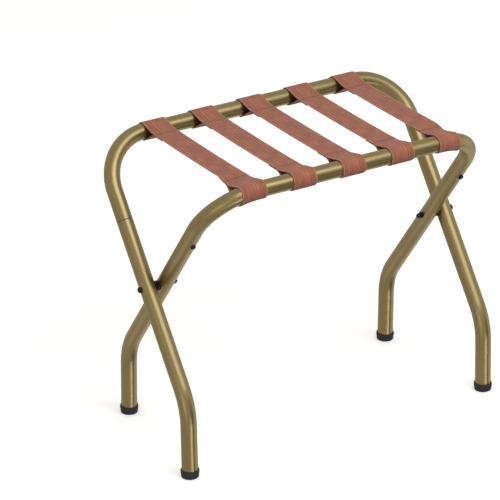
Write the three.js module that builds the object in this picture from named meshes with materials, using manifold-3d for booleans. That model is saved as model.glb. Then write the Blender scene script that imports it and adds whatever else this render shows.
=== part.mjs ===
// A folding luggage rack: two bent tube frames that cross at a pivot on each side, with webbing
// straps looped around both rails. Millimetres, +Z up. +X runs along the rails and +Y to the back.
// The origin is on the floor, under the middle of the rack.
import * as THREE from 'three';
import { mergeVertices } from 'three/addons/utils/BufferGeometryUtils.js';
import Module from 'manifold-3d';

const wasm = await Module();
wasm.setup();

const GAP = 0.3; // between neighbouring pieces
const DEG = Math.PI / 180;

// Frames. Distances along a leg are measured from the pivot.
const TUBE_RADIUS = 12.5;
const TUBE_WALL = 1.2;
const TUBE_SIDES = 16;
const LEG_LEAN = 36.9 * DEG;
const PIVOT_HEIGHT = 266.7;
const RAIL_REACH = 234.3;
const CORNER_RADIUS = 79.3;
const OUTER_HALF_WIDTH = 269.2;
const INNER_HALF_WIDTH = 240;
const FOOT_BEND_REACH = 189.7;
const FOOT_BEND_RADIUS = 94.7;
const FOOT_SPLAY = 1.4 * DEG;
const CORNER_STEPS = 12;
const FOOT_BEND_STEPS = 5;

// Joint between a stub of the top frame and its leg.
const SEAM_REACH = 108;
const SHOULDER_HEIGHT = 0.65;
const SWAGE_LENGTH = 32;
const SWAGE_RADIUS = 10.9;
const SCREW_REACH = 126.4;

// Fasteners.
const SHANK_RADIUS = 2.5;
const HOLE_RADIUS = SHANK_RADIUS + GAP;
const SCREW_HEAD_RADIUS = 4.2;
const SCREW_HEAD_HEIGHT = 2.8;
const SCREW_LENGTH = 9.5;
const WELD_NUT_RADIUS = 4.6;
const WELD_NUT_HEIGHT = 4.2;
const WELD_NUT_BASE = 4;
const BOLT_HEAD_RADIUS = 4.9;
const BOLT_HEAD_HEIGHT = 3.4;
const NUT_FLANGE_RADIUS = 5.2;
const NUT_FLANGE_HEIGHT = 1;
const NUT_HEX_RADIUS = 4.6;
const NUT_HEX_HEIGHT = 4;
const NUT_DOME_RADIUS = 3.7;
const NUT_HEIGHT = 9.5;
const NUT_BORE_DEPTH = 7;
const SPACER_RADIUS = 8;
const SPACER_SIDES = 20;
const SEAT_SIDES = 40;
const FASTENER_SIDES = 14;

// Foot caps, measured along the foot tube from the floor.
const CAP_BASE = 4.2;
const CAP_HEIGHT = 12.6;
const CAP_RIM_RADIUS = 14.3;
const CAP_WAIST_RADIUS = 13.7;
const CAP_SOLE_RADIUS = 11.8;
const CAP_SOLE_ROUND = 2;
const CAP_CUT_DEPTH = 1;
const CAP_SIDES = 20;

// Straps. Heights are measured from the rail's centreline, distances inwards from it.
const STRAP_COUNT = 5;
const STRAP_WIDTH = 40;
const STRAP_PITCH = 86.35;
const WEBBING = 1.5;
const LOOP_RADIUS = TUBE_RADIUS + 0.45;
const RUN_HEIGHT = 6.9;
const RUN_SAG = 0.8;
const TOP_PLY_SLOPE = 18 * DEG;
const LOWER_PLY_SLOPE = 25 * DEG;
const TOP_PLY_BEND = 28;
const TOP_PLY_LIFT = 0.5;
const TURNED_END = 57.8;
const STRAP_TWIST_START = 14;
const STRAP_TWIST_END = 60;
const CORNER_STRAP_STEPS = 5;

const RAIL_Y = RAIL_REACH * Math.sin(LEG_LEAN);
const RAIL_Z = PIVOT_HEIGHT + RAIL_REACH * Math.cos(LEG_LEAN);
const FOOT_BEND_Z = PIVOT_HEIGHT - FOOT_BEND_REACH * Math.cos(LEG_LEAN);
const FOOT_Y = FOOT_BEND_REACH * Math.sin(LEG_LEAN) + FOOT_BEND_Z * Math.tan(FOOT_SPLAY);

const finish = new THREE.MeshStandardMaterial({ color: 0x8f7d50, roughness: 0.38, metalness: 0.7 });
const webbing = new THREE.MeshStandardMaterial({ color: 0xa5685a, roughness: 0.85, metalness: 0 });
const blackSteel = new THREE.MeshStandardMaterial({ color: 0x1b1917, roughness: 0.45, metalness: 0.6 });
const rubber = new THREE.MeshStandardMaterial({ color: 0x232324, roughness: 0.7, metalness: 0 });
const bareSteel = new THREE.MeshStandardMaterial({ color: 0x9a9a98, roughness: 0.4, metalness: 0.9 });

// Facing 1 puts a frame's rail at the back. Facing -1 turns the whole frame round, so its rail is
// at the front and its own +X points to the rack's left.
const SIDES = [{ side: 'left', sign: -1 }, { side: 'right', sign: 1 }];
const OUTER = { name: 'outer', halfWidth: OUTER_HALF_WIDTH, facing: 1 };
const INNER = { name: 'inner', halfWidth: INNER_HALF_WIDTH, facing: -1 };

function toSolid(geometry) {
  const bare = geometry.clone();
  bare.deleteAttribute('normal');
  bare.deleteAttribute('uv');
  const merged = mergeVertices(bare, 1e-4);
  const vertProperties = new Float32Array(merged.attributes.position.array);
  const triVerts = new Uint32Array(merged.index.array);
  return new wasm.Manifold(new wasm.Mesh({ numProp: 3, vertProperties, triVerts }));
}

function toGeometry(solid) {
  const mesh = solid.getMesh();
  const geometry = new THREE.BufferGeometry();
  geometry.setAttribute('position', new THREE.BufferAttribute(mesh.vertProperties, 3));
  geometry.setIndex(new THREE.BufferAttribute(mesh.triVerts, 1));
  return geometry;
}

function cut(geometry, cutters) {
  const rest = cutters.reduce((solid, cutter) => solid.subtract(toSolid(cutter)), toSolid(geometry));
  return toGeometry(rest);
}

// Half a turn about +Z for whatever points the other way.
function turnOf(direction) {
  return direction > 0 ? 0 : Math.PI;
}

function node(name, geometry, material) {
  const mesh = new THREE.Mesh(geometry, material);
  mesh.name = name;
  return mesh;
}

// A cylinder along X, centred on the origin.
function barAlongX(radius, length, sides) {
  return new THREE.CylinderGeometry(radius, radius, length, sides).rotateZ(Math.PI / 2);
}

// Points of a dome's outline, from its rim to its top, as [radius, height].
function domeOutline(radius, height, base, steps = 3) {
  return Array.from({ length: steps + 1 }, (_, i) => {
    const angle = (Math.PI / 2) * (i / steps);
    return new THREE.Vector2(radius * Math.cos(angle), base + height * Math.sin(angle));
  });
}

// Stations along a run of straight lines whose corners are rounded. Each has a centre, the
// direction of travel and the tube's radius there.
function roundedPath(corners, bendRadius, steps) {
  const direction = (from, to) => to.clone().sub(from).normalize();
  const station = (centre, travel) => ({ centre, travel, radius: TUBE_RADIUS });
  const last = corners.length - 1;
  const stations = [station(corners[0], direction(corners[0], corners[1]))];
  for (let i = 1; i < last; i += 1) {
    const before = direction(corners[i - 1], corners[i]);
    const after = direction(corners[i], corners[i + 1]);
    const turn = before.angleTo(after);
    const axis = before.clone().cross(after).normalize();
    const inward = axis.clone().cross(before);
    const start = corners[i].clone().addScaledVector(before, -bendRadius * Math.tan(turn / 2));
    const hub = start.clone().addScaledVector(inward, bendRadius);
    for (let k = 0; k <= steps; k += 1) {
      const angle = (turn * k) / steps;
      const spoke = inward.clone().multiplyScalar(-bendRadius).applyAxisAngle(axis, angle);
      stations.push(station(hub.clone().add(spoke), before.clone().applyAxisAngle(axis, angle)));
    }
  }
  stations.push(station(corners[last], direction(corners[last - 1], corners[last])));
  return stations;
}

// A hollow tube through the stations of a flat path. It is extruded straight, with one step for
// each station, and every ring of points is then moved to its station.
function tubeAlong(stations, planeNormal) {
  const ring = new THREE.Shape().absarc(0, 0, 1, 0, 2 * Math.PI);
  ring.holes.push(new THREE.Path().absarc(0, 0, 0.5, 0, 2 * Math.PI, true));
  const steps = stations.length - 1;
  const options = { depth: 1, steps, bevelEnabled: false, curveSegments: TUBE_SIDES / 2 };
  const geometry = new THREE.ExtrudeGeometry(ring, options);
  const points = geometry.attributes.position;
  for (let i = 0; i < points.count; i += 1) {
    const { centre, travel, radius } = stations[Math.round(points.getZ(i) * steps)];
    const across = planeNormal.clone().cross(travel);
    const size = Math.hypot(points.getX(i), points.getY(i));
    const scale = (size > 0.75 ? radius : radius - TUBE_WALL) / size;
    const point = centre.clone();
    point.addScaledVector(across, points.getX(i) * scale);
    point.addScaledVector(planeNormal, points.getY(i) * scale);
    points.setXYZ(i, point.x, point.y, point.z);
  }
  return geometry;
}

// Pieces in a frame's own space: the pivot at the origin, +Z up the legs to the rail and +Y out of
// the underside, which faces the floor when the rack is open.

function topFrameGeometry(halfWidth) {
  const end = SEAM_REACH + GAP / 2;
  const corners = [
    new THREE.Vector3(-halfWidth, 0, end),
    new THREE.Vector3(-halfWidth, 0, RAIL_REACH),
    new THREE.Vector3(halfWidth, 0, RAIL_REACH),
    new THREE.Vector3(halfWidth, 0, end),
  ];
  const path = roundedPath(corners, CORNER_RADIUS, CORNER_STEPS);
  const holes = SIDES.map(({ sign }) => screwHole().translate(sign * halfWidth, 0, 0));
  return cut(tubeAlong(path, new THREE.Vector3(0, 1, 0)), holes);
}

function screwHole() {
  const hole = new THREE.CylinderGeometry(HOLE_RADIUS, HOLE_RADIUS, TUBE_RADIUS + 2, FASTENER_SIDES);
  return hole.translate(0, (TUBE_RADIUS + 2) / 2, SCREW_REACH);
}

function legGeometry() {
  const travel = new THREE.Vector3(0, 0, -1);
  const swage = (z) => ({ centre: new THREE.Vector3(0, 0, z), travel, radius: SWAGE_RADIUS });
  const neck = SEAM_REACH - GAP / 2;
  const bend = LEG_LEAN - FOOT_SPLAY;
  const footLength = FOOT_BEND_Z / Math.cos(FOOT_SPLAY) - CAP_BASE - GAP;
  const corners = [
    new THREE.Vector3(0, 0, neck - SHOULDER_HEIGHT),
    new THREE.Vector3(0, 0, -FOOT_BEND_REACH),
    new THREE.Vector3(0, footLength * Math.sin(bend), -FOOT_BEND_REACH - footLength * Math.cos(bend)),
  ];
  const path = [
    swage(SEAM_REACH + SWAGE_LENGTH),
    swage(neck),
    ...roundedPath(corners, FOOT_BEND_RADIUS, FOOT_BEND_STEPS),
  ];
  const boltHole = barAlongX(HOLE_RADIUS, 3 * TUBE_RADIUS, FASTENER_SIDES);
  return cut(tubeAlong(path, new THREE.Vector3(1, 0, 0)), [boltHole, screwHole()]);
}

// A button head screw pointing in from the underside.
function screwGeometry() {
  const base = TUBE_RADIUS + GAP;
  const outline = [
    new THREE.Vector2(0, base - SCREW_LENGTH),
    new THREE.Vector2(SHANK_RADIUS, base - SCREW_LENGTH),
    new THREE.Vector2(SHANK_RADIUS, base),
    ...domeOutline(SCREW_HEAD_RADIUS, SCREW_HEAD_HEIGHT, base),
  ];
  outline.at(-1).x = 0;
  return new THREE.LatheGeometry(outline, FASTENER_SIDES).translate(0, 0, SCREW_REACH);
}

function weldNutGeometry() {
  const hex = new THREE.CylinderGeometry(WELD_NUT_RADIUS, WELD_NUT_RADIUS, WELD_NUT_HEIGHT, 6);
  const bore = new THREE.CylinderGeometry(HOLE_RADIUS, HOLE_RADIUS, WELD_NUT_HEIGHT + 2, FASTENER_SIDES);
  const lift = WELD_NUT_BASE + WELD_NUT_HEIGHT / 2;
  return cut(hex, [bore]).translate(0, lift, SCREW_REACH);
}

// A round spacer around the bolt, hollowed to sit on its leg and flat against the other spacer. It
// is made for a leg at x = 0 whose neighbour is towards `toward`.
function spacerGeometry(toward) {
  const flat = (OUTER_HALF_WIDTH - INNER_HALF_WIDTH) / 2 - GAP / 2;
  const thick = flat - Math.sqrt(TUBE_RADIUS ** 2 - SPACER_RADIUS ** 2);
  const disc = barAlongX(SPACER_RADIUS, thick, SPACER_SIDES);
  disc.translate(toward * (flat - thick / 2), 0, 0);
  const seatRadius = TUBE_RADIUS + GAP;
  const seat = new THREE.CylinderGeometry(seatRadius, seatRadius, 4 * SPACER_RADIUS, SEAT_SIDES);
  seat.rotateX(Math.PI / 2);
  return cut(disc, [seat, barAlongX(HOLE_RADIUS, 4 * SPACER_RADIUS, FASTENER_SIDES)]);
}

// The pivot bolt of the +X side, head outwards. Its end stops inside the cap nut.
function boltGeometry() {
  const headBase = OUTER_HALF_WIDTH + TUBE_RADIUS + GAP;
  const end = INNER_HALF_WIDTH - TUBE_RADIUS - GAP - NUT_BORE_DEPTH + GAP;
  const outline = [
    new THREE.Vector2(0, end),
    new THREE.Vector2(SHANK_RADIUS, end),
    new THREE.Vector2(SHANK_RADIUS, headBase),
    ...domeOutline(BOLT_HEAD_RADIUS, BOLT_HEAD_HEIGHT, headBase),
  ];
  outline.at(-1).x = 0;
  return new THREE.LatheGeometry(outline, FASTENER_SIDES).rotateZ(-Math.PI / 2);
}

// The cap nut of the +X side, closed end towards the middle of the rack.
function capNutGeometry() {
  const base = INNER_HALF_WIDTH - TUBE_RADIUS - GAP;
  const domeBase = NUT_FLANGE_HEIGHT + NUT_HEX_HEIGHT;
  const outline = [
    new THREE.Vector2(0, 0),
    new THREE.Vector2(NUT_FLANGE_RADIUS, 0),
    new THREE.Vector2(NUT_FLANGE_RADIUS, NUT_FLANGE_HEIGHT),
    new THREE.Vector2(NUT_DOME_RADIUS, NUT_FLANGE_HEIGHT),
    ...domeOutline(NUT_DOME_RADIUS, NUT_HEIGHT - domeBase, domeBase),
  ];
  outline.at(-1).x = 0;
  const body = new THREE.LatheGeometry(outline, FASTENER_SIDES);
  const hex = new THREE.CylinderGeometry(NUT_HEX_RADIUS, NUT_HEX_RADIUS, NUT_HEX_HEIGHT, 6);
  hex.translate(0, NUT_FLANGE_HEIGHT + NUT_HEX_HEIGHT / 2, 0);
  const bore = new THREE.CylinderGeometry(HOLE_RADIUS, HOLE_RADIUS, 2 * NUT_BORE_DEPTH, FASTENER_SIDES);
  const nut = toSolid(body).add(toSolid(hex)).subtract(toSolid(bore));
  return toGeometry(nut).rotateZ(Math.PI / 2).translate(base, 0, 0);
}

// A rubber cap around the end of a foot that leans out towards -Y, its sole cut flat at the floor.
function capGeometry() {
  const rimRound = 0.9;
  const rimBottom = CAP_HEIGHT * 0.55;
  const outline = [
    new THREE.Vector2(0, -CAP_CUT_DEPTH),
    new THREE.Vector2(CAP_SOLE_RADIUS, -CAP_CUT_DEPTH),
    new THREE.Vector2(CAP_WAIST_RADIUS - CAP_SOLE_ROUND / 4, CAP_SOLE_ROUND / 2),
    new THREE.Vector2(CAP_WAIST_RADIUS, CAP_SOLE_ROUND),
    new THREE.Vector2(CAP_WAIST_RADIUS, rimBottom - rimRound),
    new THREE.Vector2(CAP_RIM_RADIUS, rimBottom),
    new THREE.Vector2(CAP_RIM_RADIUS, CAP_HEIGHT - rimRound),
    new THREE.Vector2(CAP_RIM_RADIUS - rimRound / 2, CAP_HEIGHT),
    new THREE.Vector2(TUBE_RADIUS + GAP, CAP_HEIGHT),
    new THREE.Vector2(TUBE_RADIUS + GAP, CAP_BASE),
    new THREE.Vector2(0, CAP_BASE),
  ];
  const cap = new THREE.LatheGeometry(outline, CAP_SIDES).rotateX(Math.PI / 2 - FOOT_SPLAY);
  const depth = 4 * CAP_CUT_DEPTH;
  const ground = new THREE.BoxGeometry(4 * CAP_RIM_RADIUS, 4 * CAP_RIM_RADIUS, depth);
  return cut(cap, [ground.translate(0, 0, -depth / 2)]);
}

// Points of an arc around a rail. Angles are measured from straight up, outwards.
function arcAround(railY, outward, radius, from, to, steps = 12) {
  return Array.from({ length: steps + 1 }, (_, i) => {
    const angle = from + ((to - from) * i) / steps;
    return new THREE.Vector2(railY + outward * radius * Math.sin(angle), radius * Math.cos(angle));
  });
}

// Where the ply that leaves the loop's underside reaches a height, as a distance inwards.
function lowerPlyReach(radius, height) {
  const angle = LOWER_PLY_SLOPE;
  return radius * Math.sin(angle) + (height + radius * Math.cos(angle)) / Math.tan(angle);
}

// A point of the run between the rails, `offset` above its middle surface. The run sags a little,
// and the outline has no point on its middle half, which is flat.
function runPoint(y, offset) {
  const end = RAIL_Y - lowerPlyReach(LOOP_RADIUS, RUN_HEIGHT);
  const sag = RUN_SAG * (1 - (y / end) ** 2);
  return new THREE.Vector2(y, RUN_HEIGHT - sag + offset);
}

// One loop's opening: around the rail, then the slim wedge between the two plies.
function loopOpening(outward) {
  const underRun = RUN_HEIGHT - WEBBING / 2;
  const railY = outward * RAIL_Y;
  const inwards = (distance) => railY - outward * distance;
  return [
    ...arcAround(railY, outward, LOOP_RADIUS, -TOP_PLY_SLOPE, Math.PI + LOWER_PLY_SLOPE),
    new THREE.Vector2(inwards(lowerPlyReach(LOOP_RADIUS, underRun)), underRun),
    new THREE.Vector2(inwards(TOP_PLY_BEND), underRun + TOP_PLY_LIFT),
  ];
}

// The outside of one loop with its half of the run, from the top of the run round the rail to the
// bottom of the run. The end of the webbing is turned back and sewn under the run.
function loopOutside(outward) {
  const outerRadius = LOOP_RADIUS + WEBBING;
  const half = WEBBING / 2;
  const doubled = RUN_HEIGHT - half - WEBBING;
  const railY = outward * RAIL_Y;
  const inwards = (distance) => railY - outward * distance;
  return [
    runPoint(inwards(RAIL_Y / 2), half),
    runPoint(inwards(TURNED_END), half),
    new THREE.Vector2(inwards(TOP_PLY_BEND), RUN_HEIGHT + half + TOP_PLY_LIFT),
    ...arcAround(railY, outward, outerRadius, -TOP_PLY_SLOPE, Math.PI + LOWER_PLY_SLOPE),
    new THREE.Vector2(inwards(lowerPlyReach(outerRadius, doubled)), doubled),
    runPoint(inwards(TURNED_END), -half - WEBBING),
    runPoint(inwards(TURNED_END), -half),
    runPoint(inwards(RAIL_Y / 2), -half),
  ];
}

// How far the rail's corner bend has dropped, along the frame, at a point of an outer strap. The
// webbing follows it where it wraps the tube and flattens out on its way to the run.
function cornerDrop(x, y, z, frame) {
  const past = Math.abs(x) - (frame.halfWidth - CORNER_RADIUS);
  const inwards = RAIL_Y - Math.abs(y);
  if (past <= 0 || inwards > STRAP_TWIST_END) {
    return 0;
  }
  const reach = Math.abs(y) * Math.sin(LEG_LEAN) + (z - PIVOT_HEIGHT) * Math.cos(LEG_LEAN);
  const rise = reach - (RAIL_REACH - CORNER_RADIUS);
  const share = (STRAP_TWIST_END - inwards) / (STRAP_TWIST_END - STRAP_TWIST_START);
  return (rise - Math.sqrt(rise ** 2 - past ** 2)) * Math.min(share, 1);
}

function strapGeometry(centreX) {
  const outline = new THREE.Shape([...loopOutside(-1), ...loopOutside(1).reverse()]);
  outline.holes.push(new THREE.Path(loopOpening(1)), new THREE.Path(loopOpening(-1)));
  const edge = Math.abs(centreX) + STRAP_WIDTH / 2;
  const steps = edge > INNER_HALF_WIDTH - CORNER_RADIUS ? CORNER_STRAP_STEPS : 1;
  const options = { depth: STRAP_WIDTH, steps, bevelEnabled: false };
  const geometry = new THREE.ExtrudeGeometry(outline, options);
  geometry.rotateX(Math.PI / 2).rotateZ(Math.PI / 2);
  geometry.translate(centreX - STRAP_WIDTH / 2, 0, RAIL_Z);
  const points = geometry.attributes.position;
  for (let i = 0; i < points.count; i += 1) {
    const [x, y, z] = [points.getX(i), points.getY(i), points.getZ(i)];
    const drop = cornerDrop(x, y, z, y > 0 ? OUTER : INNER);
    points.setY(i, y - Math.sign(y) * drop * Math.sin(LEG_LEAN));
    points.setZ(i, z - drop * Math.cos(LEG_LEAN));
  }
  return geometry;
}

// A frame's tubes, screws, weld nuts and spacers, in the frame's own space.
function buildFrame(frame) {
  const group = new THREE.Group();
  group.add(node(`${frame.name}_top_frame`, topFrameGeometry(frame.halfWidth), finish));
  for (const { side, sign } of SIDES) {
    const ownSign = sign * frame.facing;
    const towardNeighbour = -sign;
    const pieces = [
      node(`${frame.name}_leg_${side}`, legGeometry(), finish),
      node(`${frame.name}_screw_${side}`, screwGeometry(), blackSteel),
      node(`${frame.name}_weld_nut_${side}`, weldNutGeometry(), bareSteel),
      node(`${frame.name}_spacer_${side}`, spacerGeometry(towardNeighbour), blackSteel),
    ];
    for (const piece of pieces) {
      piece.position.x = ownSign * frame.halfWidth;
      group.add(piece);
    }
  }
  group.rotation.x = -LEG_LEAN;
  const standing = new THREE.Group();
  standing.add(group);
  standing.rotation.z = turnOf(frame.facing);
  standing.position.z = PIVOT_HEIGHT;
  return standing;
}

const rack = new THREE.Group();
rack.add(buildFrame(OUTER), buildFrame(INNER));

for (const { side, sign } of SIDES) {
  const bolt = node(`pivot_bolt_${side}`, boltGeometry(), blackSteel);
  const nut = node(`pivot_nut_${side}`, capNutGeometry(), blackSteel);
  for (const piece of [bolt, nut]) {
    piece.rotation.z = turnOf(sign);
    piece.position.z = PIVOT_HEIGHT;
    rack.add(piece);
  }
  for (const frame of [OUTER, INNER]) {
    const cap = node(`${frame.name}_foot_cap_${side}`, capGeometry(), rubber);
    cap.rotation.z = turnOf(frame.facing);
    cap.position.set(sign * frame.halfWidth, -frame.facing * FOOT_Y, 0);
    rack.add(cap);
  }
}

for (let i = 0; i < STRAP_COUNT; i += 1) {
  const centreX = (i - (STRAP_COUNT - 1) / 2) * STRAP_PITCH;
  rack.add(node(`strap_${i + 1}`, strapGeometry(centreX), webbing));
}

export default rack;
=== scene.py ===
import math

import bmesh
import bpy
from mathutils import Matrix, Vector


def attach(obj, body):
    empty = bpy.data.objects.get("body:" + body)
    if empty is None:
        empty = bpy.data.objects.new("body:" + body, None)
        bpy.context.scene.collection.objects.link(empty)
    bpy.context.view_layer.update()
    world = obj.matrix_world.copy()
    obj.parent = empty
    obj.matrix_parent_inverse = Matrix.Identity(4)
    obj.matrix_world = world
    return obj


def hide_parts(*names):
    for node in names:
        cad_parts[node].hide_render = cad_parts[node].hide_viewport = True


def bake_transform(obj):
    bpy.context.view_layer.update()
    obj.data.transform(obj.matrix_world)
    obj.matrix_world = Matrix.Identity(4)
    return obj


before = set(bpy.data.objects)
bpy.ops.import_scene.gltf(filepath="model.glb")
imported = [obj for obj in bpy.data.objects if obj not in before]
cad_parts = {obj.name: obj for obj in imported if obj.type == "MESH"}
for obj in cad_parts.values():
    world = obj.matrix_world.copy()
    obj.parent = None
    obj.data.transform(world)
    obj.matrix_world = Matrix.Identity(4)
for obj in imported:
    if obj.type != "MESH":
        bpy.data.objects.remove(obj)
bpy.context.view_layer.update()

# Lengths are in millimetres until a mesh is built. Those of the blends, bumps and studio are in metres, and
# so is the model.
MM = 0.001

# Frames. Distances along a leg are measured from the pivot.
TUBE_RADIUS = 12.5
TUBE_WALL = 1.2
TUBE_SIDES = 56
LEG_LEAN = math.radians(36.9)
PIVOT_HEIGHT = 266.7
RAIL_REACH = 234.3
CORNER_RADIUS = 79.3
CORNER_STEPS = 30
FOOT_BEND_REACH = 189.7
FOOT_BEND_RADIUS = 94.7
FOOT_BEND_STEPS = 18
FOOT_SPLAY = math.radians(1.4)
STRAIGHT_LEAD = 2
GAP = 0.3

# Joint between a stub of the top frame and its leg.
SEAM_REACH = 108
EDGE_ROUND = 0.45
SHOULDER_HEIGHT = 0.65
SWAGE_LENGTH = 32
SWAGE_RADIUS = 10.9
STUB_BORE_DEPTH = 34
SCREW_REACH = 126.4

# Fasteners. The sockets' sizes are the radii of their corners.
SHANK_RADIUS = 2.5
HEAD_EDGE = 0.25
SOCKET_EDGE = 0.12
SOCKET_DEPTH_SHARE = 0.55
SCREW_HEAD_RADIUS = 4.2
SCREW_HEAD_HEIGHT = 2.8
SCREW_SOCKET = 1.75
SCREW_SHANK = 5
BOLT_HEAD_RADIUS = 4.9
BOLT_HEAD_HEIGHT = 3.4
BOLT_SOCKET = 2.05
NUT_DEPTH = 6.7
NUT_FLANGE_RADIUS = 5.2
NUT_HEX_RADIUS = 4.62
NUT_DOME_RADIUS = 3.7
NUT_DOME_HEIGHT = 4.4
SPACER_RADIUS = 8
SPACER_EDGE = 0.5
SPACER_LIP = 0.3
FASTENER_SIDES = 48

# Foot caps, measured along the foot tube from the floor.
CAP_BASE = 4.2
CAP_HEIGHT = 12.6
CAP_CUT_DEPTH = 1
CAP_SOLE_RADIUS = 11.9
CAP_SOLE_ROUND = 2.2
CAP_WAIST_RADIUS = 13.7
CAP_BEAD_START = 6.15
CAP_BEAD_RISE = 0.8
CAP_RIM_RADIUS = 14.3
CAP_RIM_ROUND = 1
CAP_HOLE_RADIUS = 0.4
CAP_SIDES = 72

# Straps. Heights are measured from the rail's centreline, distances inwards from it.
STRAP_COUNT = 5
STRAP_WIDTH = 40
STRAP_PITCH = 86.35
WEBBING = 1.5
LOOP_RADIUS = TUBE_RADIUS + 0.45 + WEBBING / 2
RUN_HEIGHT = 6.9
RUN_SAG = 0.8
RUN_STEPS = 50
SAG_START = 43.9
TOP_PLY_BEND = 28
TOP_PLY_LIFT = 0.5
TOP_BEND_RADIUS = 50
LOWER_PLY_SLOPE = math.radians(33)
LOWER_BEND_RADIUS = 14
BEND_STEPS = 10
LOOP_STEPS = 40
LOOP_SPACING = 2.5
TURNED_END = 57.8
STRAP_TWIST_START = 14
STRAP_TWIST_END = 60
STITCH_ROWS = (98.9, 103.1)
STITCH_PITCH = 3.5
STITCH_LENGTH = 2.9
STITCH_MARGIN = 2
THREAD_RADIUS = 0.36
THREAD_SIDES = 8

# The webbing's weave, measured across and along it. A pair is where a change begins and where it is full:
# that of the painted highlight on the edges from the middle of the webbing, that of the painted shade along
# the stitches from the middle of the rows of stitches.
RIB_WIDTH = 1.3
GROOVE_PITCH = 5.7
WEFT_PICK = 1.9
EDGE_HIGHLIGHT = (18.4, 19.3)
STITCH_ROW_SHADE = (4.2, 2.2)

# Every point of the webbing has a place on it, across and along. Each face has its own lane across. Along
# it, the run's places are counted from its middle, and the loops' and turned ends' start well past it.
LANE = 100
LOOP_START = 300
TURNED_END_START = 200

# Each strap is cut where its loops open, this far from the middle. The blends are places in metres of Y,
# which are handed to across_joint and not used there.
SPLIT_Y = 105.5
RUN_BLEND_M = (0.17, -0.17)
LOOP_BLENDS_M = (("back", 1, 0.134, -0.016), ("front", -1, 0.016, -0.134))

# Studio. A spot is (direction, edge, core, level): a soft round patch of the room, of its full level
# within `core` degrees of the direction and 0 beyond `edge` degrees. A fade is a height of a direction,
# which is from -1 straight down to 1 straight up.
ROOM_LEVELS = (0.59, 0.66)
ROOM_FADE = 0.3
BELOW_FADE = 0.2
DARK_SPOTS = (
    ((0.48, -0.80, -0.35), 38, 20, 1.0),
    ((0.43, -0.62, -0.66), 32, 12, 0.9),
)
ADDED_SPOTS = (
    ((0.12, -0.9, -0.418), 14, 8, 4.1),
    ((0.53, 0.25, -0.81), 30, 6, 0.4),
    ((-0.54, 0.27, -0.8), 22, 4, 0.3),
    ((0.55, 0.7, -0.45), 50, 15, -0.2),
    ((0.93, -0.3, -0.2), 38, 12, 0.42),
    ((-0.8, -0.58, 0.12), 20, 6, 1.3),
    ((0.76, -0.5, -0.42), 13, 4, 0.7),
)
MATTE_LOSS_BELOW = 0.6
LIGHT_PLACE_M = (0.15, -1.3, 1.95)
LIGHT_TARGET_M = (0, 0, 0.4)
LIGHT_SIZE_M = (1.9, 1.05)
LIGHT_POWER = 20.5
LIGHT_COLOUR = (0.92, 1.0, 1.13)
FLOOR_REACH_M = 14.0
FLOOR_DROP_M = 0.0002
CAMERA_PLACE_M = (-2.61395, -4.09552, 2.50037)
CAMERA_TURN = (65.2738, 0.3715, -31.8298)
CAMERA_LENS = 250.743
CAMERA_SENSOR = 36

RAIL_Y = RAIL_REACH * math.sin(LEG_LEAN)
RAIL_Z = PIVOT_HEIGHT + RAIL_REACH * math.cos(LEG_LEAN)
FOOT_BEND_Z = PIVOT_HEIGHT - FOOT_BEND_REACH * math.cos(LEG_LEAN)
FOOT_Y = FOOT_BEND_REACH * math.sin(LEG_LEAN) + FOOT_BEND_Z * math.tan(FOOT_SPLAY)

# Each frame's name, half the distance between its legs, and 1 where its rail is at the back.
FRAMES = (("outer", 269.2, 1), ("inner", 240.0, -1))
HALF_WIDTH = {name: half for name, half, _ in FRAMES}
SIDES = (("left", -1), ("right", 1))


# ---------------------------------------------------------------- shader nodes

def add(tree, kind, inputs=None, **settings):
    """Adds a shader node and sets or links its inputs."""
    made = tree.nodes.new("ShaderNode" + kind)
    for key, value in settings.items():
        setattr(made, key, value)
    for key, value in (inputs or {}).items():
        if isinstance(value, bpy.types.NodeSocket):
            tree.links.new(value, made.inputs[key])
        else:
            made.inputs[key].default_value = value
    return made


def calc(tree, operation, a, b=0.0, c=0.0):
    """The result of one step of arithmetic."""
    return add(tree, "Math", {0: a, 1: b, 2: c}, operation=operation).outputs[0]


def scaled(tree, value, factor, plus):
    """value times factor, with plus added."""
    return calc(tree, "MULTIPLY_ADD", value, factor, plus)


def waves(tree, value, factor, shape="SINE"):
    """The size, from 0 to 1, of the sine or cosine of value times factor."""
    return calc(tree, "ABSOLUTE", calc(tree, shape, calc(tree, "MULTIPLY", value, factor)))


def noise(tree, vector, scale, detail=3.0, roughness=0.55):
    settings = {"Vector": vector, "Scale": scale, "Detail": detail, "Roughness": roughness}
    return add(tree, "TexNoise", settings).outputs["Fac"]


def stretched(tree, place, across, along):
    """A place scaled across and along, for noise that is longer one way than the other."""
    return add(tree, "Mapping", {"Vector": place, "Scale": (across, along, 1)}).outputs[0]


def ramp(tree, value, low, high, low_at=0.3, high_at=0.7):
    """A colour that runs from low to high as value runs from low_at to high_at."""
    made = add(tree, "ValToRGB", {"Fac": value})
    stops = made.color_ramp.elements
    stops[0].position, stops[0].color = low_at, (*low, 1)
    stops[1].position, stops[1].color = high_at, (*high, 1)
    return made.outputs["Color"]


def spread(tree, value, low, high):
    """value, which is from 0 to 1, carried over to low to high."""
    return add(tree, "MapRange", {"Value": value, "To Min": low, "To Max": high}).outputs["Result"]


def smooth_step(tree, value, none_at, full_at):
    """0 where value is none_at, rising smoothly to 1 where it is full_at. Either may be the larger."""
    limits = {"Value": value, "From Min": none_at, "From Max": full_at}
    return add(tree, "MapRange", limits, interpolation_type="SMOOTHSTEP").outputs["Result"]


def bump(tree, height, strength, depth_m, normal=None):
    inputs = {"Height": height, "Strength": strength, "Distance": depth_m}
    if normal:
        inputs["Normal"] = normal
    return add(tree, "Bump", inputs).outputs["Normal"]


def object_point(tree):
    return add(tree, "TexCoord").outputs["Object"]


def band_place(tree):
    """The place on the webbing or the thread, across and along."""
    return add(tree, "UVMap", uv_map="band").outputs["UV"]


# ---------------------------------------------------------------- materials

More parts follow.
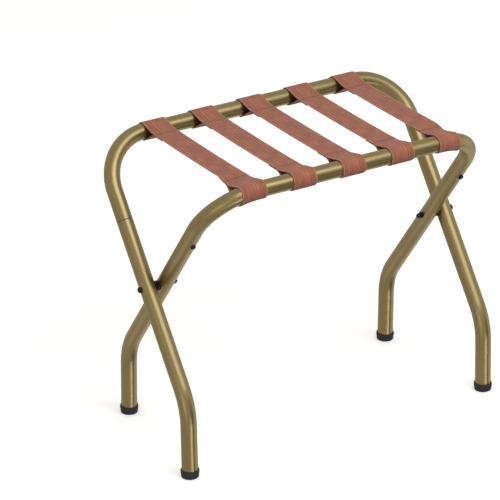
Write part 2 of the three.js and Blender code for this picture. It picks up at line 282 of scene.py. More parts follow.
def new_material(name, **values):
    """A material with one Principled shader, whose even values are set on its own sockets."""
    material = bpy.data.materials.new(name)
    material.use_nodes = True
    shader = material.node_tree.nodes["Principled BSDF"]
    for key, value in values.items():
        shader.inputs[key.replace("_", " ")].default_value = value
    return material, material.node_tree, shader


def link_surface(tree, shader, colour, rough, normal):
    """Links what changes over the surface."""
    tree.links.new(colour, shader.inputs["Base Color"])
    tree.links.new(rough, shader.inputs["Roughness"])
    tree.links.new(normal, shader.inputs["Normal"])


def gold_paint():
    """Satin antique gold powder coat: fine flake, faint orange peel and slow changes of tone."""
    material, tree, shader = new_material(
        "gold_paint", Metallic=0.93, Coat_Weight=0.75, Coat_Roughness=0.33, Specular_Tint=(1.0, 0.85, 0.55, 1)
    )
    point = object_point(tree)
    slow = noise(tree, point, 9, 2)
    flake = noise(tree, point, 2600, 2, 0.6)
    tone = ramp(tree, slow, (0.272, 0.197, 0.069), (0.312, 0.227, 0.083))
    speck = ramp(tree, flake, (0.72, 0.72, 0.7), (1.2, 1.18, 1.1), 0.35, 0.65)
    mixed = add(tree, "Mix", {0: 1.0, 6: tone, 7: speck}, data_type="RGBA", blend_type="MULTIPLY")
    rough = calc(tree, "ADD", spread(tree, slow, 0.33, 0.39), spread(tree, flake, -0.02, 0.04))
    peel = bump(tree, noise(tree, point, 700, 1), 0.25, 0.00006)
    link_surface(tree, shader, mixed.outputs[2], rough, bump(tree, flake, 0.2, 0.00002, peel))
    return material


def weave_height(tree, lane, along):
    """Fine ribs crossed by weft picks, which stand half a pick further along on each rib."""
    rib_place = calc(tree, "DIVIDE", lane, RIB_WIDTH)
    pick = scaled(tree, calc(tree, "FLOOR", rib_place), 0.5, calc(tree, "DIVIDE", along, WEFT_PICK))
    weft = waves(tree, pick, math.pi)
    return calc(tree, "MULTIPLY", waves(tree, rib_place, math.pi), scaled(tree, weft, 0.55, 0.45))


def groove_depth(tree, place, lane):
    """1 in the grooves between groups of ribs, which fade and deepen along their length."""
    groove = smooth_step(tree, waves(tree, lane, math.pi / GROOVE_PITCH, "COSINE"), 0.36, 0.1)
    dash = smooth_step(tree, noise(tree, stretched(tree, place, 0.35, 0.3), 1.0, 1), 0.38, 0.56)
    return calc(tree, "MULTIPLY", groove, scaled(tree, dash, 0.6, 0.4))


def stitch_row_shade(tree, along):
    """1 along the run's rows of stitches, where the webbing's colour gets painted shade."""
    from_rows = calc(tree, "SUBTRACT", calc(tree, "ABSOLUTE", along), sum(STITCH_ROWS) / 2)
    return smooth_step(tree, calc(tree, "ABSOLUTE", from_rows), *STITCH_ROW_SHADE)


def yarn_colour(tree, place, lane):
    """Terracotta yarns that differ a little, with a painted highlight along the edges."""
    streak = noise(tree, stretched(tree, place, 1.1, 0.03), 1.0, 3, 0.7)
    blotch = noise(tree, stretched(tree, place, 0.05, 0.05), 1.0, 3)
    tone = scaled(tree, streak, 0.62, calc(tree, "MULTIPLY", blotch, 0.38))
    yarn = ramp(tree, tone, (0.275, 0.089, 0.048), (0.445, 0.162, 0.0895), 0.36, 0.63)
    # Painted highlight: the outer edges of each face, round the selvedge, are paler.
    selvedge = smooth_step(tree, calc(tree, "ABSOLUTE", lane), *EDGE_HIGHLIGHT)
    edged = add(tree, "Mix", {0: selvedge, 6: yarn, 7: (0.52, 0.26, 0.165, 1)}, data_type="RGBA")
    return edged.outputs[2]


def webbing():
    """Terracotta webbing: fine ribs with a deeper groove between each group of them, weft picks and yarns
    that differ a little. Its colour has painted shade in the weave's valleys, in the grooves and along the
    rows of stitches, and a painted highlight along its edges."""
    material, tree, shader = new_material(
        "terracotta_webbing", Sheen_Weight=0.12, Sheen_Roughness=0.45, Specular_IOR_Level=0.25
    )
    place = band_place(tree)
    across, along = add(tree, "SeparateXYZ", {0: place}).outputs[:2]
    lane = calc(tree, "SUBTRACT", calc(tree, "MODULO", across, float(LANE)), LANE / 2)
    weave = weave_height(tree, lane, along)
    groove = groove_depth(tree, place, lane)
    fuzz = noise(tree, place, 3.2, 2)
    # Painted shade: the colour is darker where the weave is low and in the grooves. The fuzz changes the tone
    # at random.
    shade = scaled(tree, weave, 0.34, scaled(tree, fuzz, 0.3, 0.66))
    shade = calc(tree, "MULTIPLY", shade, scaled(tree, groove, -0.4, 1.0))
    # Painted shade along the rows of stitches: the colour is darkened there.
    shade = calc(tree, "MULTIPLY", shade, scaled(tree, stitch_row_shade(tree, along), -0.2, 1.0))
    mixed = add(tree, "VectorMath", {0: yarn_colour(tree, place, lane), 3: shade}, operation="SCALE")
    height = calc(tree, "MULTIPLY", weave, calc(tree, "SUBTRACT", 1.0, groove))
    woven = bump(tree, height, 0.75, 0.00028)
    rough = spread(tree, fuzz, 0.72, 0.92)
    link_surface(tree, shader, mixed.outputs[0], rough, bump(tree, fuzz, 0.3, 0.0001, woven))
    return material


def thread():
    """Sewing thread, twisted from plies."""
    material, tree, shader = new_material("sewing_thread", Sheen_Weight=0.2)
    across, along = add(tree, "SeparateXYZ", {0: band_place(tree)}).outputs[:2]
    twist = waves(tree, calc(tree, "ADD", across, along), 7.0)
    # Painted shade: the colour is darker where the twist is low, in the grooves between the plies.
    colour = ramp(tree, twist, (0.16, 0.056, 0.037), (0.36, 0.14, 0.095), 0.05, 0.8)
    link_surface(tree, shader, colour, spread(tree, twist, 0.75, 0.55), bump(tree, twist, 0.6, 0.0001))
    return material


def black_steel():
    """Black oxide on small fasteners, rubbed a little paler here and there."""
    material, tree, shader = new_material("black_steel", Metallic=0.6)
    point = object_point(tree)
    rub = noise(tree, point, 420, 3)
    colour = ramp(tree, rub, (0.010, 0.0095, 0.009), (0.034, 0.031, 0.028), 0.4, 0.8)
    grain = bump(tree, noise(tree, point, 1800, 2), 0.15, 0.00003)
    link_surface(tree, shader, colour, spread(tree, rub, 0.26, 0.44), grain)
    return material


def rubber():
    """Matte black moulded rubber with a little dust in it."""
    material, tree, shader = new_material("foot_rubber", Specular_IOR_Level=0.4)
    point = object_point(tree)
    dust = noise(tree, point, 140, 4, 0.65)
    colour = ramp(tree, dust, (0.013, 0.013, 0.014), (0.034, 0.034, 0.036), 0.45, 0.8)
    grain = bump(tree, noise(tree, point, 1500, 3), 0.25, 0.00005)
    link_surface(tree, shader, colour, spread(tree, dust, 0.5, 0.7), grain)
    return material


def bare_steel():
    """Plain steel with fine turning marks."""
    material, tree, shader = new_material("bare_steel", Metallic=1.0)
    mark = noise(tree, object_point(tree), 900, 3)
    colour = ramp(tree, mark, (0.48, 0.48, 0.47), (0.6, 0.6, 0.59))
    link_surface(tree, shader, colour, spread(tree, mark, 0.3, 0.5), bump(tree, mark, 0.2, 0.00003))
    return material


def floor_paint():
    """Pale paint, with a faint glow that keeps the floor as bright as the backdrop."""
    material, tree, shader = new_material(
        "floor_paint", Roughness=0.6, Emission_Strength=0.38, Emission_Color=(1, 1, 1, 1)
    )
    shade = noise(tree, object_point(tree), 0.8, 2)
    colour = ramp(tree, shade, (0.87, 0.84, 0.79), (0.9, 0.87, 0.82))
    tree.links.new(colour, shader.inputs["Base Color"])
    return material


# ---------------------------------------------------------------- mesh tools

class Skin:
    """Points and faces of one mesh, made from rings of points. Each point may have a place on the webbing."""

    def __init__(self):
        self.points = []
        self.faces = []
        self.places = []

    def loft(self, rings, places=None, closed=False):
        """Joins each ring to the next. The two ends are closed with a face, or to each other."""
        count = len(rings[0])
        first = len(self.points)
        for number, ring in enumerate(rings):
            self.points.extend(ring)
            self.places.extend(places[number] if places else [(0, 0)] * count)
        pairs = len(rings) if closed else len(rings) - 1
        for i in range(pairs):
            a = first + i * count
            b = first + (i + 1) % len(rings) * count
            for j in range(count):
                k = (j + 1) % count
                self.faces.append((a + j, a + k, b + k, b + j))
        if not closed:
            last = first + (len(rings) - 1) * count
            self.faces.append(tuple(range(first, first + count)))
            self.faces.append(tuple(range(last, last + count)))

    def build(self, name, material, sharp=35):
        """Makes the object. Edges that turn by more than `sharp` degrees stay sharp."""
        mesh = bpy.data.meshes.new(name)
        mesh.from_pydata([Vector(p) * MM for p in self.points], [], self.faces)
        shape = bmesh.new()
        shape.from_mesh(mesh)
        bmesh.ops.recalc_face_normals(shape, faces=shape.faces)
        shape.to_mesh(mesh)
        shape.free()
        layer = mesh.uv_layers.new(name="band")
        for loop in mesh.loops:
            layer.data[loop.index].uv = self.places[loop.vertex_index]
        mesh.shade_smooth()
        mesh.set_sharp_from_angle(angle=math.radians(sharp))
        mesh.materials.append(material)
        made = bpy.data.objects.new(name, mesh)
        bpy.context.scene.collection.objects.link(made)
        return made


def around(sides):
    """Angles once round, one for each side."""
    return [2 * math.pi * j / sides for j in range(sides)]


def quarter(steps, first=0):
    """Angles through a quarter turn, from step `first` on."""
    return [math.pi / 2 * i / steps for i in range(first, steps + 1)]


def rounded_path(corners, radius, steps, lead=0):
    """Stations (centre, travel) along a run of straight lines whose corners are rounded. Where `lead` is
    given, one more station stands that far before and after each bend, which keeps the straights true."""
    stations = [(corners[0], (corners[1] - corners[0]).normalized())]
    for before, corner, after in zip(corners, corners[1:], corners[2:]):
        arriving = (corner - before).normalized()
        leaving = (after - corner).normalized()
        turn = arriving.angle(leaving)
        axis = arriving.cross(leaving).normalized()
        inward = axis.cross(arriving)
        hub = corner - arriving * (radius * math.tan(turn / 2)) + inward * radius
        if lead:
            stations.append((hub - inward * radius - arriving * lead, arriving))
        for k in range(steps + 1):
            turned = Matrix.Rotation(turn * k / steps, 3, axis)
            stations.append((hub - turned @ (inward * radius), turned @ arriving))
        if lead:
            stations.append((stations[-1][0] + leaving * lead, leaving))
    stations.append((corners[-1], (corners[-1] - corners[-2]).normalized()))
    return stations


def tube_ring(centre, travel, radius, normal):
    across = normal.cross(travel)
    return [centre + (across * math.cos(t) + normal * math.sin(t)) * radius for t in around(TUBE_SIDES)]


def turned_rings(profile, origin, axis, start, sides):
    """Rings of a turned shape. Each row of the profile is (radius, height) or (radius, height, 'hex'),
    where the radius of a hexagon is that of its corners."""
    other = axis.cross(start)
    rings = []
    for radius, height, *kind in profile:
        ring = []
        for t in around(sides):
            size = radius
            if kind:
                size *= math.cos(math.pi / 6) / math.cos(t % (math.pi / 3) - math.pi / 6)
            ring.append(origin + axis * height + (start * math.cos(t) + other * math.sin(t)) * size)
        rings.append(ring)
    return rings


def dome(radius, height, base, top_radius=0.05, steps=8):
    """Profile of a dome from its rim at `base` up to where its radius is top_radius."""
    last = math.acos(top_radius / radius)
    return [
        (radius * math.cos(last * i / steps), base + height * math.sin(last * i / steps) / math.sin(last))
        for i in range(steps + 1)
    ]


def fit(piece, body, node):
    """Attaches a piece to the body it moves with and hides the CAD node that it stands for."""
    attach(piece, body)
    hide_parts(node)


# ---------------------------------------------------------------- frames

def standing(facing):
    """From a frame's own space, with the pivot at the origin, +Z up its legs and +Y out of its
    underside, to the open rack."""
    turn = Matrix.Rotation(0 if facing > 0 else math.pi, 4, "Z")
    return Matrix.Translation((0, 0, PIVOT_HEIGHT)) @ turn @ Matrix.Rotation(-LEG_LEAN, 4, "X")


def placed(rings, matrix):
    """Rings moved by a matrix."""
    return [[matrix @ point for point in ring] for ring in rings]


def stub_mouth():
    """Distance back from a stub's end and radius, from inside the bore out round the rim."""
    bore = TUBE_RADIUS - TUBE_WALL
    rim = [(STUB_BORE_DEPTH, bore), (EDGE_ROUND, bore), (0, bore + EDGE_ROUND)]
    for t in quarter(4):
        rim.append((EDGE_ROUND * (1 - math.cos(t)), TUBE_RADIUS - EDGE_ROUND * (1 - math.sin(t))))
    rim += [(EDGE_ROUND + 0.3, TUBE_RADIUS), (EDGE_ROUND + STRAIGHT_LEAD, TUBE_RADIUS)]
    return rim


def top_frame(name, half, facing, material):
    """The rail, its two corner bends and its two stubs, in one tube."""
    end = SEAM_REACH + GAP / 2
    corners = [
        Vector((-half, 0, end)),
        Vector((-half, 0, RAIL_REACH)),
        Vector((half, 0, RAIL_REACH)),
        Vector((half, 0, end)),
    ]
    normal = Vector((0, 1, 0))
    path = rounded_path(corners, CORNER_RADIUS, CORNER_STEPS, STRAIGHT_LEAD)
    (first, first_way), (last, last_way) = path[0], path[-1]
    mouth = stub_mouth()
    rings = [tube_ring(first + first_way * back, first_way, radius, normal) for back, radius in mouth]
    rings += [tube_ring(centre, travel, TUBE_RADIUS, normal) for centre, travel in path[1:-1]]
    rings += [tube_ring(last - last_way * back, last_way, radius, normal) for back, radius in reversed(mouth)]
    skin = Skin()
    skin.loft(placed(rings, standing(facing)))
    made = skin.build(f"{name}_top_tube", material)
    fit(made, f"{name}_frame", f"{name}_top_frame")


def swaged_end():
    """Distance from the pivot and radius, down a leg's thinner end and over its shoulder."""
    neck = SEAM_REACH - GAP / 2
    top = SEAM_REACH + SWAGE_LENGTH
    rows = [(top, SWAGE_RADIUS - 1), (top - 0.3, SWAGE_RADIUS - 0.3)]
    rows += [(top - 1, SWAGE_RADIUS), (neck, SWAGE_RADIUS)]
    for t in quarter(5, 1):
        rise = (TUBE_RADIUS - SWAGE_RADIUS) * math.sin(t)
        rows.append((neck - SHOULDER_HEIGHT * (1 - math.cos(t)), SWAGE_RADIUS + rise))
    shoulder = neck - SHOULDER_HEIGHT
    rows += [(shoulder - 0.3, TUBE_RADIUS), (shoulder - STRAIGHT_LEAD, TUBE_RADIUS)]
    return rows


def leg(name, side, own_x, facing, material):
    """A straight leg whose thinner end plugs into the stub, with the foot bend at its lower end."""
    bend = LEG_LEAN - FOOT_SPLAY
    foot = FOOT_BEND_Z / math.cos(FOOT_SPLAY) - CAP_BASE - GAP
    down = Vector((0, 0, -1))
    normal = Vector((1, 0, 0))
    rings = [tube_ring(Vector((own_x, 0, z)), down, radius, normal) for z, radius in swaged_end()]
    corners = [
        Vector((own_x, 0, SEAM_REACH - GAP / 2 - SHOULDER_HEIGHT)),
        Vector((own_x, 0, -FOOT_BEND_REACH)),
        Vector((own_x, foot * math.sin(bend), -FOOT_BEND_REACH - foot * math.cos(bend))),
    ]
    path = rounded_path(corners, FOOT_BEND_RADIUS, FOOT_BEND_STEPS, STRAIGHT_LEAD)
    rings += [tube_ring(centre, travel, TUBE_RADIUS, normal) for centre, travel in path[1:]]
    skin = Skin()
    skin.loft(placed(rings, standing(facing)))
    made = skin.build(f"{name}_leg_tube_{side}", material)
    fit(made, f"{name}_frame", f"{name}_leg_{side}")


# ---------------------------------------------------------------- fasteners and feet

def button_head(radius, height, socket, shank):
    """Profile of a button head with a hexagon socket, from the shank's end up."""
    flat = radius * 0.5
    rows = [(SHANK_RADIUS, -shank), (SHANK_RADIUS, 0), (radius - HEAD_EDGE, 0), (radius, HEAD_EDGE)]
    for t in quarter(8, 1):
        rows.append((flat + (radius - flat) * math.cos(t), HEAD_EDGE + (height - HEAD_EDGE) * math.sin(t)))
    rows += [(socket + SOCKET_EDGE, height), (socket, height - SOCKET_EDGE, "hex")]
    rows += [(socket, height - SOCKET_DEPTH_SHARE * height, "hex")]
    return rows


def screw(name, side, own_x, facing, material):
    """The button head screw through the underside of a stub."""
    profile = button_head(SCREW_HEAD_RADIUS, SCREW_HEAD_HEIGHT, SCREW_SOCKET, SCREW_SHANK)
    origin = Vector((own_x, TUBE_RADIUS + GAP, SCREW_REACH))
    rings = turned_rings(profile, origin, Vector((0, 1, 0)), Vector((0, 0, 1)), FASTENER_SIDES)
    skin = Skin()
    skin.loft(placed(rings, standing(facing)))
    made = skin.build(f"{name}_button_screw_{side}", material, 30)
    fit(made, f"{name}_frame", f"{name}_screw_{side}")


def spacer_rows():
    """Rows of a spacer as (radius, depth, lift), from its bore out along the leg and back along its flat
    face. Where depth is None the row lies on the leg, `lift` away from it."""
    flat = (HALF_WIDTH["outer"] - HALF_WIDTH["inner"]) / 2 - GAP / 2
    bore = SHANK_RADIUS + GAP
    lip = bore + SPACER_LIP
    rows = [(bore, None, 0), (lip, None, 0)]
    rows += [(lip + (SPACER_RADIUS - SPACER_EDGE - lip) * i / 6, None, 0) for i in range(1, 7)]
    rows += [(SPACER_RADIUS, None, SPACER_EDGE), (SPACER_RADIUS, flat - SPACER_EDGE, 0)]
    rows += [(SPACER_RADIUS - SPACER_EDGE * 0.3, flat - SPACER_EDGE * 0.3, 0)]
    rows += [(SPACER_RADIUS - SPACER_EDGE, flat, 0), (lip, flat, 0), (bore, flat - SPACER_LIP, 0)]
    return rows


def spacer(name, side, own_x, facing, toward, material):
    """A round saddle spacer that sits on its leg and lies flat against the other frame's spacer."""
    seat = TUBE_RADIUS + GAP
    rings = []
    for radius, depth, lift in spacer_rows():
        ring = []
        for t in around(FASTENER_SIDES):
            y, z = radius * math.cos(t), radius * math.sin(t)
            reach = math.sqrt(seat ** 2 - y ** 2) + lift if depth is None else depth
            ring.append(Vector((own_x + toward * reach, y, z)))
        rings.append(ring)
    skin = Skin()
    skin.loft(placed(rings, standing(facing)), closed=True)
    made = skin.build(f"{name}_saddle_spacer_{side}", material, 40)
    fit(made, f"{name}_frame", f"{name}_spacer_{side}")


def pivot_bolt(side, sign, material):
    """The pivot bolt of one side, its head outwards and its end inside the cap nut."""
    head_base = HALF_WIDTH["outer"] + TUBE_RADIUS + GAP
    nut_base = HALF_WIDTH["inner"] - TUBE_RADIUS - GAP
    shank = head_base - nut_base + NUT_DEPTH
    profile = button_head(BOLT_HEAD_RADIUS, BOLT_HEAD_HEIGHT, BOLT_SOCKET, shank)
    outwards = Vector((sign, 0, 0))
    origin = Vector((0, 0, PIVOT_HEIGHT)) + outwards * head_base
    skin = Skin()
    skin.loft(turned_rings(profile, origin, outwards, Vector((0, 0, 1)), FASTENER_SIDES))
    made = skin.build(f"pivot_button_bolt_{side}", material, 30)
    fit(made, "outer_frame", f"pivot_bolt_{side}")


def pivot_nut(side, sign, material):
    """The cap nut of one side: a round flange, a hexagon and a dome towards the middle of the rack."""
    flange, corner = NUT_FLANGE_RADIUS, NUT_HEX_RADIUS
    profile = [(2.8, -0.02), (flange - 0.25, 0), (flange, 0.25), (flange, 0.75), (flange - 0.25, 1)]
    profile += [(corner, 1.02, "hex"), (corner, 4.5, "hex"), (4.1, 4.95), (3.72, 5.05)]
    profile += dome(NUT_DOME_RADIUS, NUT_DOME_HEIGHT, 5.1)
    outwards = Vector((sign, 0, 0))
    origin = Vector((0, 0, PIVOT_HEIGHT)) + outwards * (HALF_WIDTH["inner"] - TUBE_RADIUS - GAP)
    skin = Skin()
    skin.loft(turned_rings(profile, origin, -outwards, Vector((0, 0, 1)), FASTENER_SIDES))
    made = skin.build(f"pivot_cap_nut_{side}", material, 30)
    fit(made, "outer_frame", f"pivot_nut_{side}")


def cap_profile():
    """Radius and height, from the middle of the sole up the outside and down into the bore."""
    profile = [(CAP_HOLE_RADIUS, -CAP_CUT_DEPTH), (CAP_SOLE_RADIUS - 0.3, -CAP_CUT_DEPTH)]
    profile += [(CAP_SOLE_RADIUS, -0.2)]
    flare = CAP_WAIST_RADIUS - CAP_SOLE_RADIUS
    for t in quarter(6):
        profile.append((CAP_SOLE_RADIUS + flare * math.sin(t), CAP_SOLE_ROUND * (1 - math.cos(t))))
    bead = CAP_WAIST_RADIUS + 0.02
    profile += [(CAP_WAIST_RADIUS, 5.6), (CAP_WAIST_RADIUS - 0.08, 5.9), (bead, CAP_BEAD_START)]
    for t in quarter(4, 1):
        rise = CAP_BEAD_RISE * (1 - math.cos(t))
        profile.append((bead + (CAP_RIM_RADIUS - bead) * math.sin(t), CAP_BEAD_START + rise))
    profile += [(CAP_RIM_RADIUS, 11.2)]
    for t in quarter(6, 1):
        inset = CAP_RIM_ROUND * (1 - math.cos(t))
        profile.append((CAP_RIM_RADIUS - inset, CAP_HEIGHT - CAP_RIM_ROUND * (1 - math.sin(t))))
    bore = TUBE_RADIUS + GAP * 0.4
    profile += [(bore + 0.25, CAP_HEIGHT), (bore, CAP_HEIGHT - 0.3), (bore, CAP_BASE)]
    profile += [(CAP_HOLE_RADIUS, CAP_BASE)]
    return profile


def foot_cap(name, side, sign, half, facing, material):
    """A moulded cap around the end of a foot, its sole flat on the floor."""
    axis = Vector((0, facing * math.sin(FOOT_SPLAY), math.cos(FOOT_SPLAY)))
    origin = Vector((sign * half, -facing * FOOT_Y, 0))
    rings = turned_rings(cap_profile(), origin, axis, Vector((1, 0, 0)), CAP_SIDES)
    for ring in rings:
        for point in ring:
            point.z = max(point.z, 0)
    skin = Skin()
    skin.loft(rings)
    made = skin.build(f"{name}_rubber_foot_{side}", material, 30)
    fit(made, f"{name}_frame", f"{name}_foot_cap_{side}")


# ---------------------------------------------------------------- lines of webbing

def rounded_bend(before, corner, after, radius):
    """The arc that rounds one corner of a flat line, as points (distance, height)."""
    path = rounded_path([Vector((*p, 0)) for p in (before, corner, after)], radius, BEND_STEPS)
    return [(centre.x, centre.y) for centre, _ in path[1:-1]]


def tangent_angle(point, upper):
    """Angle round the rail, from straight up and outwards, where a line from the point meets the loop."""
    distance, height = point
    span = math.hypot(distance, height)
    towards = math.atan2(-distance, height)
    opening = math.acos(LOOP_RADIUS / span)
    return towards + opening if upper else towards - opening + 2 * math.pi


def round_rail(angle):
    """The point of a loop at an angle round the rail, from straight up and outwards."""
    return (-LOOP_RADIUS * math.sin(angle), LOOP_RADIUS * math.cos(angle))


def loop_line():
    """The middle of the webbing at one rail, as (distance inwards from the rail, height above it): down
    the top ply, round the rail, and along the lower ply to the turned end under the run."""
    under = RUN_HEIGHT - WEBBING
    top_bend = (TOP_PLY_BEND, RUN_HEIGHT + TOP_PLY_LIFT)
    low_reach = LOOP_RADIUS * math.sin(LOWER_PLY_SLOPE)
    low_reach += (under + LOOP_RADIUS * math.cos(LOWER_PLY_SLOPE)) / math.tan(LOWER_PLY_SLOPE)
    low_bend = (low_reach, under)
    top_touch = tangent_angle(top_bend, True)
    low_touch = tangent_angle(low_bend, False)
    line = [(TURNED_END, RUN_HEIGHT)]
    line += rounded_bend(line[0], top_bend, round_rail(top_touch), TOP_BEND_RADIUS)
    for i in range(LOOP_STEPS + 1):
        line.append(round_rail(top_touch + (low_touch - top_touch) * i / LOOP_STEPS))
    line += rounded_bend(round_rail(low_touch), low_bend, (TURNED_END, under), LOWER_BEND_RADIUS)
    line += [(TURNED_END, under)]
    return line


def height_between(a, b, distance):
    """The height at a distance on the straight line from a to b."""
    share = (distance - a[0]) / (b[0] - a[0])
    return a[1] + (b[1] - a[1]) * share


def loop_within(line, distance):
    """The part of a line of (distance, height) that is nearer the rail than `distance`."""
    kept = []
    for a, b in zip(line, line[1:]):
        if (a[0] < distance) != (b[0] < distance):
            kept.append((distance, height_between(a, b, distance)))
        if b[0] < distance:
            kept.append(b)
    return kept


def turned_end(line, distance):
    """The lower ply from `distance` to the end of the webbing."""
    lower = line[-(BEND_STEPS + 3):]
    kept = []
    for a, b in zip(lower, lower[1:]):
        if a[0] < distance <= b[0]:
            kept.append((distance, height_between(a, b, distance)))
        if b[0] > distance:
            kept.append(b)
    return kept


def top_ply_height(line, distance):
    """The height of the upper ply at a distance inwards from the rail."""
    upper = line[:BEND_STEPS + 2]
    for a, b in zip(upper, upper[1:]):
        if b[0] <= distance <= a[0] and a[0] != b[0]:
            return height_between(a, b, distance)
    return RUN_HEIGHT


def finer(line, step):
    """The same line with points added so that no two neighbours are more than `step` apart."""
    made = [line[0]]
    for a, b in zip(line, line[1:]):
        count = math.ceil(math.dist(a, b) / step)
        made += [tuple(p + (q - p) * k / count for p, q in zip(a, b)) for k in range(1, count + 1)]
    return made


# ---------------------------------------------------------------- straps

def sagged(y, height):
    """The run between the rails sags a little."""
    end = RAIL_Y - SAG_START
    return height - RUN_SAG * (1 - (y / end) ** 2) if abs(y) < end else height


def world_line(line, side):
    """From (distance, height) at a rail to (y, z). side is 1 for the back rail."""
    rows = []
    for distance, height in line:
        y = side * (RAIL_Y - distance)
        rows.append((y, RAIL_Z + sagged(y, height)))
    return rows


def corner_drop(x, y, z):
    """How far a rail's corner bend has dropped, along its frame, under a point of an outer strap."""
    half = HALF_WIDTH["outer"] if y > 0 else HALF_WIDTH["inner"]
    past = abs(x) - (half - CORNER_RADIUS)
    inwards = RAIL_Y - abs(y)
    if past <= 0 or inwards > STRAP_TWIST_END:
        return 0
    reach = abs(y) * math.sin(LEG_LEAN) + (z - PIVOT_HEIGHT) * math.cos(LEG_LEAN)
    rise = reach - (RAIL_REACH - CORNER_RADIUS)
    share = min((STRAP_TWIST_END - inwards) / (STRAP_TWIST_END - STRAP_TWIST_START), 1)
    share = share * share * (3 - 2 * share)
    return (rise - math.sqrt(rise ** 2 - past ** 2)) * share


def settled(point):
    """A point of a strap, moved to follow the corner bends."""
    drop = corner_drop(*point)
    side = 1 if point.y > 0 else -1
    return Vector((point.x, point.y - side * drop * math.sin(LEG_LEAN), point.z - drop * math.cos(LEG_LEAN)))


def band_section():
    """The webbing's section as (across, up), once round from the top, with rounded selvedges."""
    thick = WEBBING / 2
    selvedge = thick * 0.8
    flat = STRAP_WIDTH / 2 - selvedge
    half_round = [(-flat + 2 * flat * i / 20, thick) for i in range(21)]
    for i in range(1, 6):
        t = math.pi / 2 - math.pi * i / 6
        half_round.append((flat + selvedge * math.cos(t), thick * math.sin(t)))
    return half_round + [(-a, -b) for a, b in half_round]


def lay_band(skin, line, centre_x, start):
    """Adds webbing along a line of (y, z), whose places along the strap begin at `start`."""
    section = band_section()
    travelled = start
    rings, places = [], []
    for i, (y, z) in enumerate(line):
        before, after = line[max(i - 1, 0)], line[min(i + 1, len(line) - 1)]
        travel = Vector((0, after[0] - before[0], after[1] - before[1])).normalized()
        normal = Vector((1, 0, 0)).cross(travel)
        if i:
            travelled += math.dist(line[i - 1], line[i])
        centre = Vector((centre_x, y, z))
        rings.append([settled(centre + Vector((a, 0, 0)) + normal * b) for a, b in section])
        places.append([(a + LANE * (0.5 if b >= 0 else 1.5), travelled) for a, b in section])
    skin.loft(rings, places)


def add_stitch(skin, middle, face):
    """One stitch: a short arch of thread whose ends go down into the webbing."""
    rings, places = [], []
    for i in range(9):
        t = i / 4 - 1
        radius = THREAD_RADIUS * (1 - 0.5 * t ** 6)
        lift = face * THREAD_RADIUS * (0.45 - 1.5 * abs(t) ** 5)
        centre = middle + Vector((t * STITCH_LENGTH / 2, 0, lift))
        ring = []
        for a in around(THREAD_SIDES):
            ring.append(settled(centre + Vector((0, math.cos(a) * radius, math.sin(a) * radius))))
        rings.append(ring)
        places.append([(t * STITCH_LENGTH / 2, radius * a) for a in around(THREAD_SIDES)])
    skin.loft(rings, places)


def stitch_rows(skin, centre_x, side):
    """Rows of stitches through both plies, on the top and the underside."""
    count = round((STRAP_WIDTH - 2 * STITCH_MARGIN) / STITCH_PITCH)
    first = -(count - 1) / 2 * STITCH_PITCH
    for row_y in STITCH_ROWS:
        y = side * row_y
        middle = RAIL_Z + sagged(y, RUN_HEIGHT)
        for face, surface in ((1, middle + WEBBING / 2), (-1, middle - WEBBING * 1.5)):
            for k in range(count):
                add_stitch(skin, Vector((centre_x + first + k * STITCH_PITCH, y, surface)), face)


def across_joint(piece, start, end):
    """Bakes a piece's placement into its mesh. start and end, two places along Y, are not used."""
    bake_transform(piece)


def strap_loops(number, centre_x, line, band):
    """The two loops of a strap, each round its rail from the cut and back to it. Returns their names."""
    loop = finer(loop_within(line, RAIL_Y - SPLIT_Y), LOOP_SPACING)
    names = []
    for label, side, start, end in LOOP_BLENDS_M:
        skin = Skin()
        lay_band(skin, world_line(loop, side), centre_x, LOOP_START)
        made = skin.build(f"strap_{number}_{label}_loop", band, 50)
        across_joint(made, start, end)
        names.append(made.name)
    return names


def strap_run(number, centre_x, line, band):
    """The run between the cuts, with a turned end sewn under each end of it."""
    skin = Skin()
    run = []
    for i in range(RUN_STEPS + 1):
        y = SPLIT_Y - 2 * SPLIT_Y * i / RUN_STEPS
        run.append((y, RAIL_Z + sagged(y, top_ply_height(line, RAIL_Y - abs(y)))))
    lay_band(skin, run, centre_x, -SPLIT_Y)
    tail = turned_end(line, RAIL_Y - SPLIT_Y)
    for side in (1, -1):
        lay_band(skin, world_line(tail, side), centre_x, TURNED_END_START)
    made = skin.build(f"strap_{number}_run", band, 50)
    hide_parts(f"strap_{number}")
    across_joint(made, *RUN_BLEND_M)


def strap(number, band, sewing):
    """One strap: a loop at each rail, the run between them and the stitches that hold them together."""
    centre_x = (number - 1 - (STRAP_COUNT - 1) / 2) * STRAP_PITCH
    line = loop_line()
    loop_names = strap_loops(number, centre_x, line, band)
    strap_run(number, centre_x, line, band)
    skin = Skin()
    for side in (1, -1):
        stitch_rows(skin, centre_x, side)
    made = skin.build(f"strap_{number}_stitching", sewing, 60)
    across_joint(made, *RUN_BLEND_M)


# ---------------------------------------------------------------- studio

def overhead_light():
    """One large soft light above and in front of the rack."""
    data = bpy.data.lights.new("overhead", "AREA")
    data.shape = "RECTANGLE"
    data.size, data.size_y = LIGHT_SIZE_M
    data.energy = LIGHT_POWER
    data.color = LIGHT_COLOUR
    made = bpy.data.objects.new("overhead", data)
    made.location = LIGHT_PLACE_M
    aim = Vector(LIGHT_TARGET_M) - Vector(LIGHT_PLACE_M)
    made.rotation_euler = aim.to_track_quat("-Z", "Y").to_euler()
    bpy.context.scene.collection.objects.link(made)


def floor(material):
    """A wide plain floor. Only the camera sees it: the light that it would throw back comes from the room."""
    mesh = bpy.data.meshes.new("floor")
    reach = FLOOR_REACH_M
    corners = [(-reach, -reach, 0), (reach, -reach, 0), (reach, reach, 0), (-reach, reach, 0)]
    mesh.from_pydata(corners, [], [(0, 1, 2, 3)])
    mesh.materials.append(material)
    made = bpy.data.objects.new("floor", mesh)
    made.location.z = -FLOOR_DROP_M
    made.visible_glossy = False
    made.visible_diffuse = False
    made.visible_shadow = False
    bpy.context.scene.collection.objects.link(made)


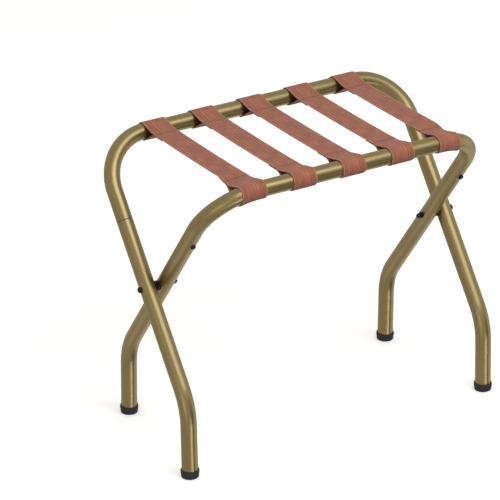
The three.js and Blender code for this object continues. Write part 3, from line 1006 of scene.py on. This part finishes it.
def spot(tree, direction, towards, edge, core, level):
    """A soft round spot of the room, of the given level inside `core` degrees and 0 outside `edge`."""
    facing = add(tree, "VectorMath", {0: direction, 1: towards}, operation="DOT_PRODUCT").outputs["Value"]
    limits = {"From Min": math.cos(math.radians(edge)), "From Max": math.cos(math.radians(core))}
    inputs = {"Value": facing, "To Max": level, **limits}
    return add(tree, "MapRange", inputs, interpolation_type="SMOOTHSTEP").outputs["Result"]


def studio_world():
    """A pale room, a little brighter above, with an open, dark side low at the front, and patches that are
    paler or darker than the rest. Matte surfaces get less of the light that comes from below."""
    world = bpy.data.worlds.new("studio")
    world.use_nodes = True
    tree = world.node_tree
    direction = add(tree, "TexCoord").outputs["Generated"]
    height = add(tree, "SeparateXYZ", {0: direction}).outputs[2]
    low, high = ROOM_LEVELS
    limits = {"From Min": -ROOM_FADE, "From Max": ROOM_FADE, "To Min": low, "To Max": high}
    room = add(tree, "MapRange", {"Value": height, **limits}).outputs["Result"]
    open_side = calc(tree, "MAXIMUM", *(spot(tree, direction, *dark) for dark in DARK_SPOTS))
    level = calc(tree, "MULTIPLY", room, calc(tree, "SUBTRACT", 1.0, open_side))
    for added in ADDED_SPOTS:
        level = calc(tree, "ADD", level, spot(tree, direction, *added))
    from_below = smooth_step(tree, height, 0.0, -BELOW_FADE)
    matte = calc(tree, "MULTIPLY", from_below, add(tree, "LightPath").outputs["Is Diffuse Ray"])
    level = calc(tree, "MULTIPLY", level, scaled(tree, matte, -MATTE_LOSS_BELOW, 1.0))
    tree.links.new(level, tree.nodes["Background"].inputs["Color"])
    bpy.context.scene.world = world


def set_camera():
    data = bpy.data.cameras.new("camera")
    data.sensor_width = CAMERA_SENSOR
    data.lens = CAMERA_LENS
    made = bpy.data.objects.new("camera", data)
    made.location = CAMERA_PLACE_M
    made.rotation_euler = [math.radians(angle) for angle in CAMERA_TURN]
    bpy.context.scene.collection.objects.link(made)
    bpy.context.scene.camera = made


# ---------------------------------------------------------------- the rack in its studio

paint, band, sewing = gold_paint(), webbing(), thread()
black, cap_rubber, steel = black_steel(), rubber(), bare_steel()

# own_x is where a leg stands in its frame's own space, and toward is the way from it to the other frame.
for name, half, facing in FRAMES:
    top_frame(name, half, facing, paint)
    for side, sign in SIDES:
        own_x = sign * facing * half
        toward = -sign * facing if name == "outer" else sign * facing
        leg(name, side, own_x, facing, paint)
        screw(name, side, own_x, facing, black)
        spacer(name, side, own_x, facing, toward, black)
        foot_cap(name, side, sign, half, facing, cap_rubber)
        weld_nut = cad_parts[f"{name}_weld_nut_{side}"]
        weld_nut.data.materials.clear()
        weld_nut.data.materials.append(steel)
for side, sign in SIDES:
    pivot_bolt(side, sign, black)
    pivot_nut(side, sign, black)
for number in range(1, STRAP_COUNT + 1):
    strap(number, band, sewing)

floor(floor_paint())
studio_world()
overhead_light()
set_camera()
bpy.context.scene.view_settings.view_transform = "Standard"
